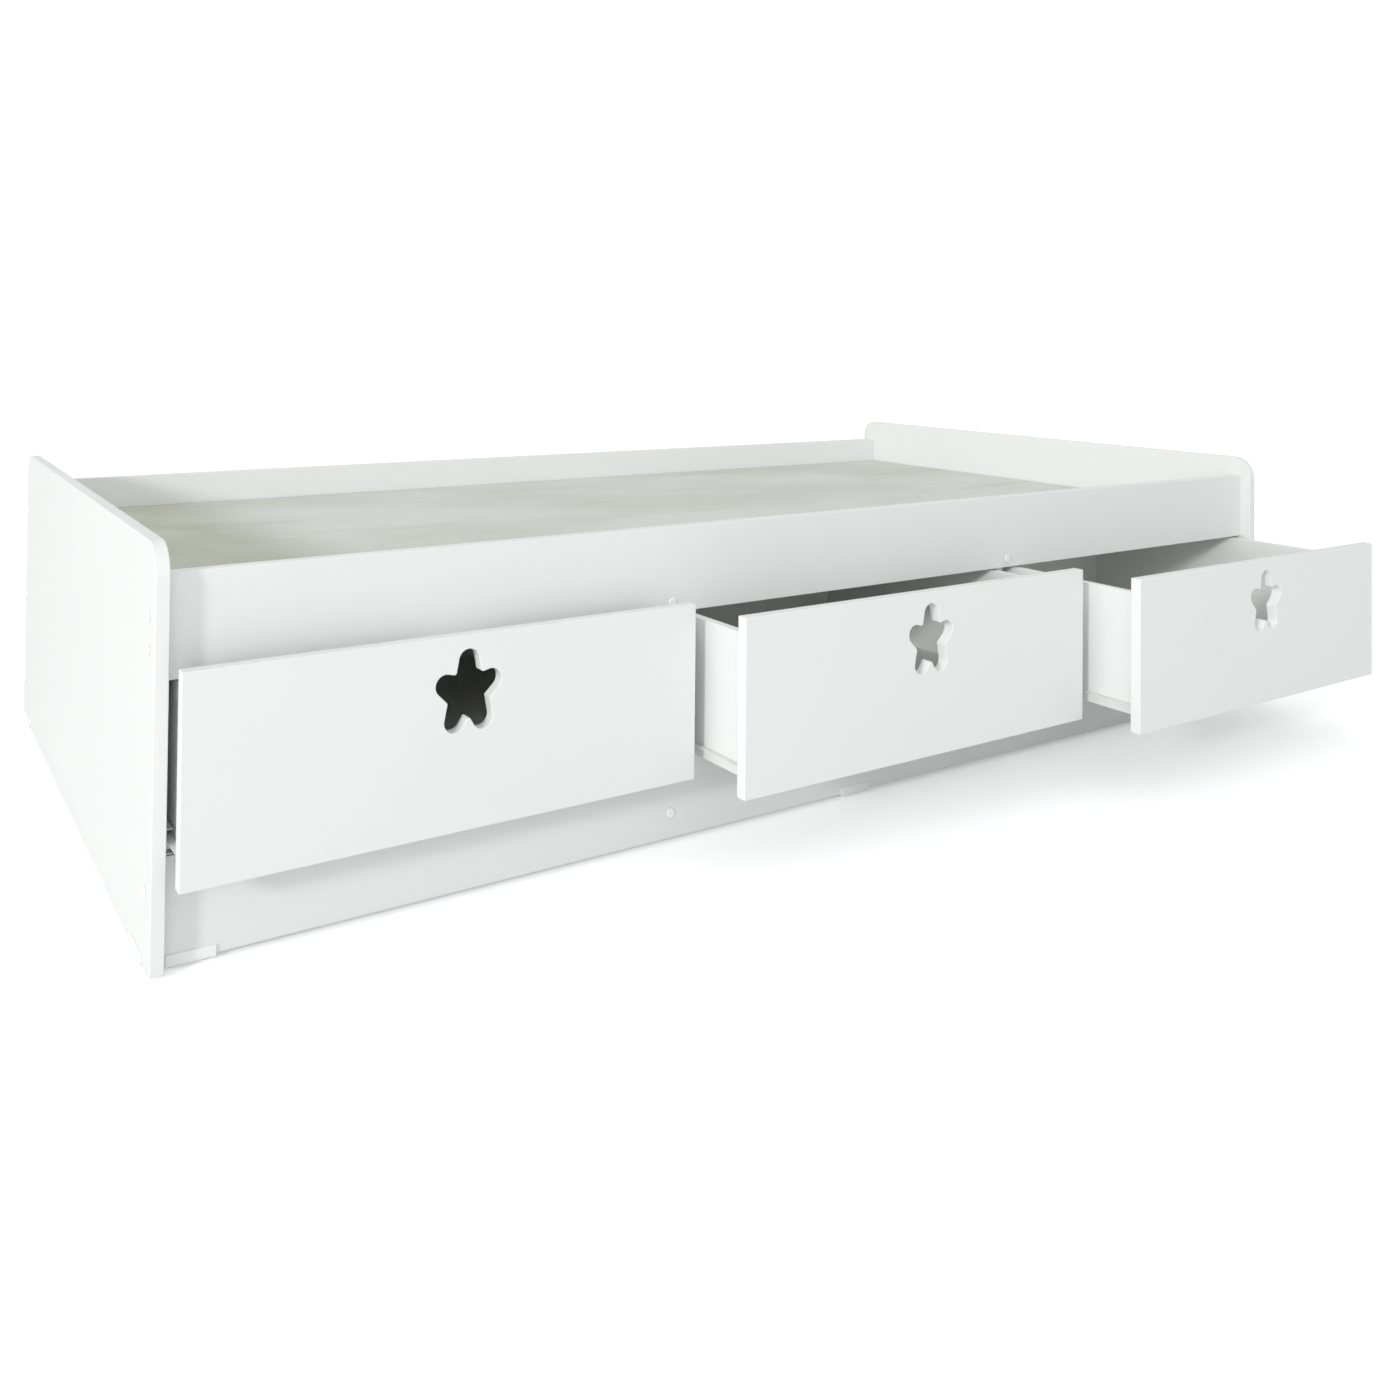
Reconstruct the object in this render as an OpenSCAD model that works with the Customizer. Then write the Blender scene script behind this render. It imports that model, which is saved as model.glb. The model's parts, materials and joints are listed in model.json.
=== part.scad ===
// Single bed with three drawers, built from flat boards.
// Lengths are in millimetres, +Z is up and the drawers open towards -Y.
// The origin is the middle of the mattress, on the top face of the deck.
// Sizes below are measured from the left end, the front edge and the foot of the end panels.

/* [Bed] */
// Overall length, outside the two end panels
bed_length = 1940; // [1700:10:2200]
// Depth of the end panels, front to back
bed_depth = 968; // [800:4:1200]
// Height of the end panels, without the glides
panel_height = 430; // [400:5:560]
// Thickness of the white carcass boards
board = 15; // [12:1:20]
// Radius of the end panels' top front corners
front_corner_r = 35; // [5:1:60]
// Radius of the end panels' top back corners
back_corner_r = 30; // [5:1:60]

/* [Rails and deck] */
// From the end panels' front edges back to the rail's face
front_setback = 18; // [16:1:40]
// From the end panels' back edges forward to the back panel's face
back_setback = 18; // [0:1:40]
// Height of the front rail
rail_height = 110; // [80:1:130]
// From the end panels' tops down to the front rail's top
rail_drop = 32; // [10:1:60]
// From the end panels' tops down to the back panel's top
back_drop = 42; // [10:1:80]
// Height of the plinth
plinth_height = 110; // [70:1:130]
// From the front rail's top down to the deck's top face
deck_drop = 62; // [30:1:75]
// Thickness of the deck sheets
deck_t = 15; // [9:1:18]
// Side of the square cleats under the deck
cleat = 20; // [15:1:25]
// Gap round each deck sheet
deck_gap = 1; // [0.5:0.5:3]

/* [Drawers] */
// Thickness of the drawer fronts
front_t = 15; // [12:1:18]
// Gap left on each side of a drawer front's share of the width
front_reveal = 4.3; // [2:0.1:8]
// How far a front laps over the plinth
front_lap_low = 18; // [8:1:30]
// How far a front laps over the front rail
front_lap_high = 21; // [8:1:30]
// Gap between a closed front and the rail
front_rest_gap = 2.5; // [2.5:0.5:4]
// Thickness of the drawer sides and backs
side_t = 12; // [10:1:16]
// Length of a drawer side, front to back
side_length = 500; // [400:10:600]
// Space under a drawer side
side_clear_low = 3; // [3:0.5:8]
// Space over a drawer side
side_clear_high = 3; // [3:1:20]
// How much lower the box back is than the sides
back_lower = 10; // [0:1:40]
// Thickness of the drawer bottom sheet
bottom_t = 3; // [3:1:6]
// Height of the bottom sheet over the foot of the sides
bottom_rise = 16; // [14:1:30]
// Depth of the grooves that hold the bottom sheet
groove_depth = 5; // [3:0.5:6]
// How far drawer 1 stands open
open_1 = 35; // [0:1:375]
// How far drawer 2 stands open
open_2 = 122; // [0:1:375]
// How far drawer 3 stands open
open_3 = 207; // [0:1:375]

/* [Flower cut-out] */
// Radius of each petal's round end
petal_r = 12.5; // [9:0.5:13]
// Sideways reach of the petals' centres
petal_reach_x = 29.5; // [28:0.5:34]
// Upward reach of the petals' centres
petal_reach_z = 36.5; // [32:0.5:40]
// Radius of the round valleys between petals
valley_r = 3; // [2:0.5:4]
// From the flower's centre out to each valley
valley_reach = 27.5; // [26:0.5:30]
// From the drawer front's top down to the flower's centre
flower_drop = 65; // [60:1:90]

/* [Drawer runners] */
// Space on each side of a drawer box for its runners
runner_gap = 12.5; // [12.5:0.5:16]
// Steel thickness of the runners
runner_t = 1.2; // [1:0.1:1.5]
// Height of the fixed channel
channel_h = 26; // [26:1:34]
// Radius of the rollers
roller_r = 6.5; // [5:0.1:6.5]
// Width of the rollers
roller_w = 6; // [5:0.5:7]
// Radius of the roller axles
axle_r = 2; // [1.5:0.1:2.5]

/* [Fasteners and feet] */
// Radius of the connector screws' shanks
screw_r = 3.5; // [2.5:0.1:3.5]
// Length of the connector screws
screw_length = 50; // [40:1:60]
// Radius of the cover caps
cap_r = 6.5; // [5.5:0.5:8]
// Height of the cover caps
cap_h = 1.8; // [1:0.1:2]
// Length of a floor glide
glide_length = 52; // [40:1:80]
// Height of a floor glide's flange on the board's face
glide_flange = 10; // [6:1:20]
// Thickness of a floor glide's plate and flange
glide_t = 2; // [1.5:0.5:3]
// Radius of the round pads under a glide
pad_r = 5.5; // [4:0.5:7]
// Height of the round pads under a glide
pad_h = 3; // [2:0.5:5]

/* [Hidden] */
bays = 3;
CARCASS_NODES = [
    "left_end_panel", "right_end_panel", "front_rail", "plinth", "back_panel",
    "left_divider", "right_divider",
    "left_deck_sheet", "middle_deck_sheet", "right_deck_sheet",
    "front_cleats", "back_cleats", "end_cleats", "cleat_screws",
    "carcass_screws", "cover_caps", "dowels",
    "end_panel_glides", "plinth_glides", "back_panel_glides",
    "channel_screws", "bay_axles"
];
BAY_NODES = ["channels", "rollers"];
DRAWER_NODES = [
    "front", "left_side", "right_side", "back", "bottom",
    "runners", "axles", "rollers", "fittings", "screws"
];

WHITE = "WhiteSmoke";
PLASTIC = "White";
RAW_BOARD = "DarkKhaki";
STEEL = "LightGray";

opened = [open_1, open_2, open_3];
hole_gap = 0.05;
run_gap = 0.3;
cut = 1;

// Heights over the foot of the end panels
rail_top = panel_height - rail_drop;
rail_bottom = rail_top - rail_height;
back_top = panel_height - back_drop;
deck_top = rail_top - deck_drop;
deck_under = deck_top - deck_t;
cleat_z = deck_under - cleat / 2;
front_bottom = plinth_height - front_lap_low;
front_top = rail_bottom + front_lap_high;
side_bottom = plinth_height + side_clear_low;
side_top = rail_bottom - side_clear_high;
box_back_top = side_top - back_lower;
floor_drop = glide_t + pad_h;

// Places along the length
inner_left = board;
inner_right = bed_length - board;
inner_length = inner_right - inner_left;
share = inner_length / bays;
bay_width = (inner_length - (bays - 1) * board) / bays;
front_width = share - 2 * front_reveal;
function bay_left(i) = inner_left + (i - 1) * (bay_width + board);
function bay_right(i) = bay_left(i) + bay_width;
function share_mid(i) = inner_left + (i - 0.5) * share;
function divider_mid(i) = bay_right(i) + board / 2;

// Places from the front edge of the end panels towards the back
rail_face = front_setback;
rail_back = rail_face + board;
back_outer = bed_depth - back_setback;
back_face = back_outer - board;
well_depth = back_face - rail_back;
front_back = rail_face - front_rest_gap;
box_back_face = front_back + side_length;

// Box of a drawer
box_width = bay_width - 2 * runner_gap;
box_inner = box_width - 2 * side_t;

// Runners: across the gap from the bay wall, and up from the foot of the sides
channel_inset = 1;
channel_front = rail_face + channel_inset;
channel_bottom = plinth_height + channel_inset;
channel_top = channel_bottom + channel_h;
channel_reach = runner_gap - runner_t - 0.8;
runner_web = runner_gap - runner_t;
roller_start = channel_reach - roller_w - 0.7;
roller_mid = roller_start + roller_w / 2;
roller_z = channel_bottom + runner_t + run_gap + roller_r;
runner_top = roller_z + roller_r + run_gap + runner_t;
front_roller_y = channel_front + roller_r + 3.5;
rear_roller_y = box_back_face - roller_r - 5.5;
axle_head_r = axle_r + 1.2;
axle_head_t = 0.5;
axle_head_gap = 0.1;

// Fasteners
cap_rim_h = 0.4 * cap_h;
cap_top_r = 0.7 * cap_r;
screw_head_r = screw_r + 1.4;
screw_head_t = 3;
screw_core_r = screw_r - 1;
socket_r = 1.7;
socket_depth = 2.4;
small_head_r = 3.2;
small_shank_r = 1.5;
small_shank = 11;
screw_stagger = 16;
cleat_screw_r = 2;
cleat_screw_head_r = 4;
cleat_screw_head_t = 2.5;
cam_r = 6;
cam_depth = 9;
cam_back = 24;
cam_bolt_r = 3;
cam_bolt_in_front = 11;
box_screw_r = 2;
box_screw_length = 40;
box_screw_head_r = 3.6;
box_screw_head_t = 2;
fitting_inset = 32;

// Heights and places of the connector screws
back_screw_y = back_outer - board / 2;
back_screw_z = [60, 200, back_top - 48];
rail_screw_y = rail_face + board / 2;
rail_screw_z = [rail_bottom + 32, rail_top - 43];
plinth_screw_z = plinth_height - 34;
plinth_dowel_z = plinth_height / 3;
dowel_r = 4;
dowel_in_panel = 10;
dowel_length = 30;
divider_rail_z = rail_bottom + 13;
divider_plinth_z = 32;
divider_back_z = [60, deck_under - 60];

module at_origin() {
    translate([-bed_length / 2, -(rail_back + well_depth / 2), -deck_top]) children();
}

// Moves a drawer's pieces forward to where the drawer stands.
module at_opening(i) {
    translate([0, -opened[i - 1], 0]) children();
}

// Puts a copy at each end of the bed: +X points inwards from the outer face.
module at_both_ends() {
    children();
    translate([bed_length, 0, 0]) mirror([1, 0, 0]) children();
}

// Puts a copy at each wall of a bay: +X points into the bay from the wall.
module at_bay_walls(i) {
    translate([bay_left(i), 0, 0]) children();
    translate([bay_right(i), 0, 0]) mirror([1, 0, 0]) children();
}

// A cylinder along +X, +Y or +Z from the current place.
module rod_x(r, h) {
    rotate([0, 90, 0]) cylinder(r = r, h = h, $fn = 48);
}

module rod_y(r, h) {
    rotate([-90, 0, 0]) cylinder(r = r, h = h, $fn = 48);
}

module rod_z(r, h) {
    cylinder(r = r, h = h, $fn = 48);
}

// ---- Connector screws and their caps -------------------------------------

// A connector screw along +X whose head is flush with the face at x = 0.
module connector_screw() {
    difference() {
        union() {
            rod_x(screw_head_r, screw_head_t);
            rod_x(screw_r, board - 1);
            rod_x(screw_core_r, screw_length);
        }
        translate([-cut, 0, 0]) rod_x(socket_r, socket_depth + cut);
    }
}

module connector_hole() {
    translate([-cut, 0, 0]) rod_x(screw_head_r + hole_gap, screw_head_t + hole_gap + cut);
    translate([-cut, 0, 0]) rod_x(screw_r + hole_gap, board + cut);
    rod_x(screw_core_r + hole_gap, screw_length + cut);
}

// A low cap on the face at x = 0, whose stem sits in the screw's socket.
module cap() {
    translate([-cap_rim_h, 0, 0]) rod_x(cap_r, cap_rim_h);
    translate([-cap_rim_h, 0, 0]) rotate([0, -90, 0])
        cylinder(r1 = cap_r, r2 = cap_top_r, h = cap_h - cap_rim_h, $fn = 48);
    rod_x(socket_r - hole_gap, socket_depth - 0.4);
}

// Places a child at each connector screw, with +X pointing into the joint.
module at_end_screws() {
    at_both_ends() {
        for (z = back_screw_z) translate([0, back_screw_y, z]) children();
        for (z = rail_screw_z) translate([0, rail_screw_y, z]) children();
        translate([0, rail_screw_y, plinth_screw_z]) children();
    }
}

module at_divider_screws() {
    for (i = [1 : bays - 1]) translate([divider_mid(i), 0, 0]) {
        for (z = [divider_plinth_z, divider_rail_z])
            translate([0, rail_face, z]) rotate([0, 0, 90]) children();
        for (z = divider_back_z)
            translate([0, back_outer, z]) rotate([0, 0, -90]) children();
    }
}

module carcass_screws() {
    at_origin() color(STEEL) {
        at_end_screws() connector_screw();
        at_divider_screws() connector_screw();
    }
}

module cover_caps() {
    at_origin() color(PLASTIC) {
        at_end_screws() cap();
        at_divider_screws() cap();
    }
}

// Wooden pins beside the plinth's screws, which keep its ends from turning.
module at_dowels() {
    at_both_ends() translate([board - dowel_in_panel, rail_screw_y, plinth_dowel_z]) children();
}

module dowel_holes() {
    at_dowels() translate([-0.5, 0, 0]) rod_x(dowel_r + hole_gap, dowel_length + 1);
}

module dowels() {
    at_origin() color(RAW_BOARD) at_dowels() rod_x(dowel_r, dowel_length);
}

// ---- Carcass boards ------------------------------------------------------

module end_outline() {
    top_r = max(front_corner_r, back_corner_r);
    square([bed_depth, panel_height - top_r]);
    translate([front_corner_r, 0]) square([bed_depth - front_corner_r - back_corner_r, panel_height]);
    square([front_corner_r, panel_height - front_corner_r]);
    translate([bed_depth - back_corner_r, 0]) square([back_corner_r, panel_height - back_corner_r]);
    translate([front_corner_r, panel_height - front_corner_r]) circle(r = front_corner_r, $fn = 96);
    translate([bed_depth - back_corner_r, panel_height - back_corner_r]) circle(r = back_corner_r, $fn = 96);
}

module end_board() {
    rotate([90, 0, 90]) linear_extrude(board) end_outline();
}

module left_end_panel() {
    at_origin() color(WHITE) difference() {
        end_board();
        at_end_screws() connector_hole();
        dowel_holes();
        end_cleat_screw_cuts();
        channel_screw_cuts();
    }
}

module right_end_panel() {
    at_origin() color(WHITE) difference() {
        translate([inner_right, 0, 0]) end_board();
        at_end_screws() connector_hole();
        dowel_holes();
        end_cleat_screw_cuts();
        channel_screw_cuts();
    }
}

module front_rail() {
    at_origin() color(WHITE) difference() {
        translate([inner_left, rail_face, rail_bottom]) cube([inner_length, board, rail_height]);
        at_end_screws() connector_hole();
        at_divider_screws() connector_hole();
        long_cleat_screw_cuts();
    }
}

module plinth() {
    at_origin() color(WHITE) difference() {
        translate([inner_left, rail_face, 0]) cube([inner_length, board, plinth_height]);
        at_end_screws() connector_hole();
        dowel_holes();
        at_divider_screws() connector_hole();
    }
}

module back_panel() {
    at_origin() color(WHITE) difference() {
        translate([inner_left, back_face, 0]) cube([inner_length, board, back_top]);
        at_end_screws() connector_hole();
        at_divider_screws() connector_hole();
        long_cleat_screw_cuts();
    }
}

module divider(i) {
    at_origin() color(WHITE) difference() {
        translate([divider_mid(i) - board / 2, rail_back, 0]) cube([board, well_depth, deck_under]);
        at_divider_screws() connector_hole();
        channel_screw_cuts();
    }
}

module deck_sheet(i) {
    low = i == 1 ? inner_left + deck_gap : divider_mid(i - 1) + deck_gap / 2;
    high = i == bays ? inner_right - deck_gap : divider_mid(i) - deck_gap / 2;
    at_origin() color(RAW_BOARD)
        translate([low, rail_back + deck_gap, deck_under])
            cube([high - low, well_depth - 2 * deck_gap, deck_t]);
}

// ---- Cleats under the deck -----------------------------------------------

end_cleat_length = well_depth - 2 * cleat;
function along(length) = [length / 6, length / 2, length * 5 / 6];

// A cleat screw along +Y from a flush head at y = 0, through the cleat into the board.
module cleat_screw() {
    rod_y(cleat_screw_head_r, cleat_screw_head_t);
    rod_y(cleat_screw_r, cleat + board - 3);
}

module cleat_screw_hole() {
    translate([0, -cut, 0]) rod_y(cleat_screw_head_r + hole_gap, cleat_screw_head_t + hole_gap + cut);
    rod_y(cleat_screw_r + hole_gap, cleat + board - 2.5);
}

module at_front_cleat_screws() {
    for (i = [1 : bays], x = along(bay_width))
        translate([bay_left(i) + x, rail_back + cleat, cleat_z]) mirror([0, 1, 0]) children();
}

module at_back_cleat_screws() {
    for (i = [1 : bays], x = along(bay_width))
        translate([bay_left(i) + x, back_face - cleat, cleat_z]) children();
}

module at_end_cleat_screws() {
    at_both_ends() for (y = along(end_cleat_length))
        translate([board + cleat, rail_back + cleat + y, cleat_z]) rotate([0, 0, 90]) children();
}

module long_cleat_screw_cuts() {
    at_front_cleat_screws() cleat_screw_hole();
    at_back_cleat_screws() cleat_screw_hole();
}

module end_cleat_screw_cuts() {
    at_end_cleat_screws() cleat_screw_hole();
}

module front_cleats() {
    at_origin() color(RAW_BOARD) difference() {
        for (i = [1 : bays])
            translate([bay_left(i), rail_back, deck_under - cleat]) cube([bay_width, cleat, cleat]);
        at_front_cleat_screws() cleat_screw_hole();
    }
}

module back_cleats() {
    at_origin() color(RAW_BOARD) difference() {
        for (i = [1 : bays])
            translate([bay_left(i), back_face - cleat, deck_under - cleat])
                cube([bay_width, cleat, cleat]);
        at_back_cleat_screws() cleat_screw_hole();
    }
}

module end_cleats() {
    at_origin() color(RAW_BOARD) difference() {
        at_both_ends() translate([board, rail_back + cleat, deck_under - cleat])
            cube([cleat, end_cleat_length, cleat]);
        end_cleat_screw_cuts();
    }
}

module cleat_screws() {
    at_origin() color(STEEL) {
        at_front_cleat_screws() cleat_screw();
        at_back_cleat_screws() cleat_screw();
        at_end_cleat_screws() cleat_screw();
    }
}

// ---- Floor glides --------------------------------------------------------

glide_y = 34;
glide_inset = 4;

// A glide that runs along +X under a board whose face is at y = 0.
module glide() {
    translate([0, -glide_t, -glide_t]) cube([glide_length, board + glide_t, glide_t]);
    translate([0, -glide_t, -glide_t]) cube([glide_length, glide_t, glide_flange + glide_t]);
    for (x = [pad_r + 2, glide_length - pad_r - 5])
        translate([x, board / 2, -glide_t - pad_h]) rod_z(pad_r, pad_h + glide_t / 2);
}

module plinth_glides() {
    at_origin() color(PLASTIC) translate([0, rail_face, 0]) {
        translate([inner_left + glide_inset, 0, 0]) glide();
        translate([(bed_length - glide_length) / 2, 0, 0]) glide();
        translate([inner_right - glide_inset - glide_length, 0, 0]) glide();
    }
}

module back_panel_glides() {
    at_origin() color(PLASTIC) translate([0, back_outer, 0]) mirror([0, 1, 0]) {
        translate([inner_left + glide_inset, 0, 0]) glide();
        translate([(bed_length - glide_length) / 2, 0, 0]) glide();
        translate([inner_right - glide_inset - glide_length, 0, 0]) glide();
    }
}

module end_panel_glides() {
    at_origin() color(PLASTIC) at_both_ends() {
        translate([0, glide_y + glide_length, 0]) rotate([0, 0, -90]) glide();
        translate([0, bed_depth - glide_y, 0]) rotate([0, 0, -90]) glide();
    }
}

// ---- Drawer runners ------------------------------------------------------

// Small flat-head screw along -X from a flush head, from the runner's steel into a board.
module runner_screw() {
    translate([-small_shank, 0, 0]) rod_x(small_shank_r, small_shank + runner_t);
    rod_x(small_head_r, runner_t);
}

module runner_screw_hole() {
    translate([-small_shank - 0.5, 0, 0]) rod_x(small_shank_r + hole_gap, small_shank + 1);
    rod_x(small_head_r + hole_gap, runner_t + cut);
}

// The two walls of a bay take their screws in turn, so they never meet in a divider.
module at_channel_screws() {
    for (i = [1 : bays], y = [60, side_length / 2, side_length - 60]) {
        translate([bay_left(i), channel_front + y, channel_top - 6]) children();
        translate([bay_right(i), channel_front + y + screw_stagger, channel_top - 6])
            mirror([1, 0, 0]) children();
    }
}

module channel_screw_cuts() {
    at_channel_screws() runner_screw_hole();
}

module channel_screws() {
    at_origin() color(STEEL) at_channel_screws() runner_screw();
}

// Axle that starts in the steel at x = 0 and ends in a head beyond its roller.
module axle(reach) {
    rod_x(axle_r, reach);
    translate([reach - axle_head_t, 0, 0]) rod_x(axle_head_r, axle_head_t);
}

module roller() {
    translate([-roller_w / 2, 0, 0]) difference() {
        rod_x(roller_r, roller_w);
        translate([-cut, 0, 0]) rod_x(axle_r + hole_gap, roller_w + 2 * cut);
    }
}

axle_reach = roller_start + roller_w + axle_head_gap + axle_head_t;
drawer_axle_reach = runner_gap - roller_start + axle_head_gap + axle_head_t;

// The fixed channel on a bay wall, open towards the drawer.
module channel() {
    translate([0, channel_front, channel_bottom]) difference() {
        cube([channel_reach, side_length, channel_h]);
        translate([runner_t, -cut, runner_t])
            cube([channel_reach, side_length + 2 * cut, channel_h - 2 * runner_t]);
    }
}

module bay_channels(i) {
    at_origin() color(STEEL) difference() {
        at_bay_walls(i) channel();
        channel_screw_cuts();
        at_bay_walls(i) translate([-cut, front_roller_y, roller_z])
            rod_x(axle_r + hole_gap, runner_t + 2 * cut);
    }
}

module bay_axles() {
    at_origin() color(STEEL) for (i = [1 : bays])
        at_bay_walls(i) translate([0, front_roller_y, roller_z]) axle(axle_reach);
}

module bay_rollers(i) {
    at_origin() color(PLASTIC) at_bay_walls(i)
        translate([roller_mid, front_roller_y, roller_z]) roller();
}

module at_drawer_axles(i) {
    at_bay_walls(i) translate([runner_gap, rear_roller_y, roller_z]) mirror([1, 0, 0]) children();
}

module at_runner_screws(i) {
    at_bay_walls(i) for (y = [50, side_length / 2, side_length - 50])
        translate([runner_gap + side_t / 2, front_back + y, side_bottom])
            rotate([0, 90, 0]) children();
}

// The steel on a drawer side: a foot under the side, a web and a flange that rides the roller.
module runner() {
    translate([0, front_back + 1, 0]) {
        translate([runner_web, 0, side_bottom - runner_t])
            cube([runner_t + side_t, side_length - 1, runner_t]);
        translate([runner_web, 0, side_bottom - runner_t])
            cube([runner_t, side_length - 1, runner_top - side_bottom + runner_t]);
        translate([roller_start, 0, runner_top - runner_t])
            cube([runner_gap - roller_start, side_length - 1, runner_t]);
    }
}

module drawer_runners(i) {
    at_origin() at_opening(i) color(STEEL) difference() {
        at_bay_walls(i) runner();
        at_drawer_axles(i) translate([-cut, 0, 0]) rod_x(axle_r + hole_gap, runner_t + 2 * cut);
        at_runner_screws(i) runner_screw_hole();
    }
}

module drawer_axles(i) {
    at_origin() at_opening(i) color(STEEL) at_drawer_axles(i) axle(drawer_axle_reach);
}

module drawer_rollers(i) {
    at_origin() at_opening(i) color(PLASTIC) at_bay_walls(i)
        translate([roller_mid, rear_roller_y, roller_z]) roller();
}

// ---- Drawer boxes --------------------------------------------------------

petal_step = 72;
petals = [for (a = [90 : petal_step : 378]) [petal_reach_x * cos(a), petal_reach_z * sin(a)]];
valleys = [for (a = [90 : petal_step : 378]) (valley_reach + valley_r) * unit(a + petal_step / 2)];

function unit(a) = [cos(a), sin(a)];
function bearing(v) = atan2(v[1], v[0]);
// Angle at either centre between the line of centres and the point where a shared tangent touches.
function touch(p, v) = acos(min(1, (petal_r + valley_r) / norm(v - p)));
// The two ends of the straight edge from petal p down into valley v, on the side given by turn.
// Each end lies a little inside its round, so that the edge crosses the round cleanly.
edge_sink = 0.08;
function petal_end(p, v, turn) = p + (petal_r - edge_sink) * unit(bearing(v - p) + turn * touch(p, v));
function valley_end(p, v, turn) = v + (valley_r - edge_sink) * unit(bearing(p - v) + turn * touch(p, v));

module flower() {
    difference() {
        union() {
            polygon([for (k = [0 : 4]) let (p = petals[k], v = valleys[k], next = petals[(k + 1) % 5]) each [
                petal_end(p, v, -1),
                valley_end(p, v, -1),
                v,
                valley_end(next, v, 1),
                petal_end(next, v, 1)
            ]]);
            for (p = petals) translate(p) circle(r = petal_r, $fn = 64);
        }
        for (v = valleys) translate(v) circle(r = valley_r, $fn = 48);
    }
}

groove_z = side_bottom + bottom_rise;
function box_left(i) = bay_left(i) + runner_gap;

// Cam and bolt that pull a side against the front: +Y runs back along the side.
module cam_fitting() {
    translate([0, -cam_bolt_in_front, 0]) rod_y(cam_bolt_r, cam_bolt_in_front + cam_back - cam_r - 0.2);
    translate([side_t / 2 - cam_depth, cam_back, 0]) rod_x(cam_r, cam_depth);
}

module cam_hole() {
    translate([0, -cam_bolt_in_front - 0.5, 0]) rod_y(cam_bolt_r + hole_gap, cam_bolt_in_front + cam_back);
    translate([side_t / 2 - cam_depth - 0.2, cam_back, 0]) rod_x(cam_r + hole_gap, cam_depth + cut);
}

module at_cams(i) {
    at_bay_walls(i) for (z = [side_bottom + fitting_inset, side_top - fitting_inset])
        translate([runner_gap + side_t / 2, front_back, z]) children();
}

// Screw along +X from a flush head on a side's outer face into the end of the box back.
module box_screw() {
    rod_x(box_screw_head_r, box_screw_head_t);
    rod_x(box_screw_r, box_screw_length);
}

module box_screw_hole() {
    translate([-cut, 0, 0]) rod_x(box_screw_head_r + hole_gap, box_screw_head_t + hole_gap + cut);
    rod_x(box_screw_r + hole_gap, box_screw_length + 0.5);
}

module at_box_screws(i) {
    at_bay_walls(i) for (z = [groove_z + fitting_inset, box_back_top - fitting_inset])
        translate([runner_gap, box_back_face - side_t / 2, z]) children();
}

// The groove for the bottom sheet, cut with a little room over and under it.
module groove(i) {
    translate([box_left(i) + side_t - groove_depth, front_back - groove_depth, groove_z])
        cube([box_inner + 2 * groove_depth, side_length + groove_depth + cut, bottom_t]);
}

module drawer_front(i) {
    at_origin() at_opening(i) color(WHITE) difference() {
        translate([share_mid(i) - front_width / 2, front_back - front_t, front_bottom])
            cube([front_width, front_t, front_top - front_bottom]);
        translate([share_mid(i), front_back + cut, front_top - flower_drop])
            rotate([90, 0, 0]) linear_extrude(front_t + 2 * cut) flower();
        groove(i);
        at_cams(i) cam_hole();
    }
}

module drawer_side(i, x) {
    at_origin() at_opening(i) color(WHITE) difference() {
        translate([x, front_back, side_bottom]) cube([side_t, side_length, side_top - side_bottom]);
        groove(i);
        at_cams(i) cam_hole();
        at_box_screws(i) box_screw_hole();
        at_runner_screws(i) runner_screw_hole();
    }
}

module drawer_left_side(i) {
    drawer_side(i, box_left(i));
}

module drawer_right_side(i) {
    drawer_side(i, box_left(i) + box_width - side_t);
}

module drawer_back(i) {
    at_origin() at_opening(i) color(WHITE) difference() {
        translate([box_left(i) + side_t, box_back_face - side_t, groove_z + bottom_t])
            cube([box_inner, side_t, box_back_top - groove_z - bottom_t]);
        at_box_screws(i) box_screw_hole();
    }
}

module drawer_bottom(i) {
    slack = 0.5;
    at_origin() at_opening(i) color(WHITE)
        translate([box_left(i) + side_t - groove_depth + slack, front_back - groove_depth + slack, groove_z])
            cube([box_inner + 2 * (groove_depth - slack), side_length + groove_depth - slack, bottom_t]);
}

module drawer_fittings(i) {
    at_origin() at_opening(i) color(STEEL) at_cams(i) cam_fitting();
}

module drawer_screws(i) {
    at_origin() at_opening(i) color(STEEL) {
        at_box_screws(i) box_screw();
        at_runner_screws(i) runner_screw();
    }
}

left_end_panel();
right_end_panel();
front_rail();
plinth();
back_panel();
divider(1);  // left_divider
divider(2);  // right_divider
deck_sheet(1);  // left_deck_sheet
deck_sheet(2);  // middle_deck_sheet
deck_sheet(3);  // right_deck_sheet
front_cleats();
back_cleats();
end_cleats();
cleat_screws();
carcass_screws();
cover_caps();
dowels();
end_panel_glides();
plinth_glides();
back_panel_glides();
channel_screws();
bay_axles();
for (i = [1 : bays]) {
    bay_channels(i);
    bay_rollers(i);
    drawer_front(i);
    drawer_left_side(i);
    drawer_right_side(i);
    drawer_back(i);
    drawer_bottom(i);
    drawer_runners(i);
    drawer_axles(i);
    drawer_rollers(i);
    drawer_fittings(i);
    drawer_screws(i);
}
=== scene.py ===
"""A low white bed with three drawers: its finishes, softened edges, floor, light and camera."""

import json
import logging
import math
from dataclasses import dataclass, field
from enum import Enum

import bmesh
import bpy
from mathutils import Matrix, Vector

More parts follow.
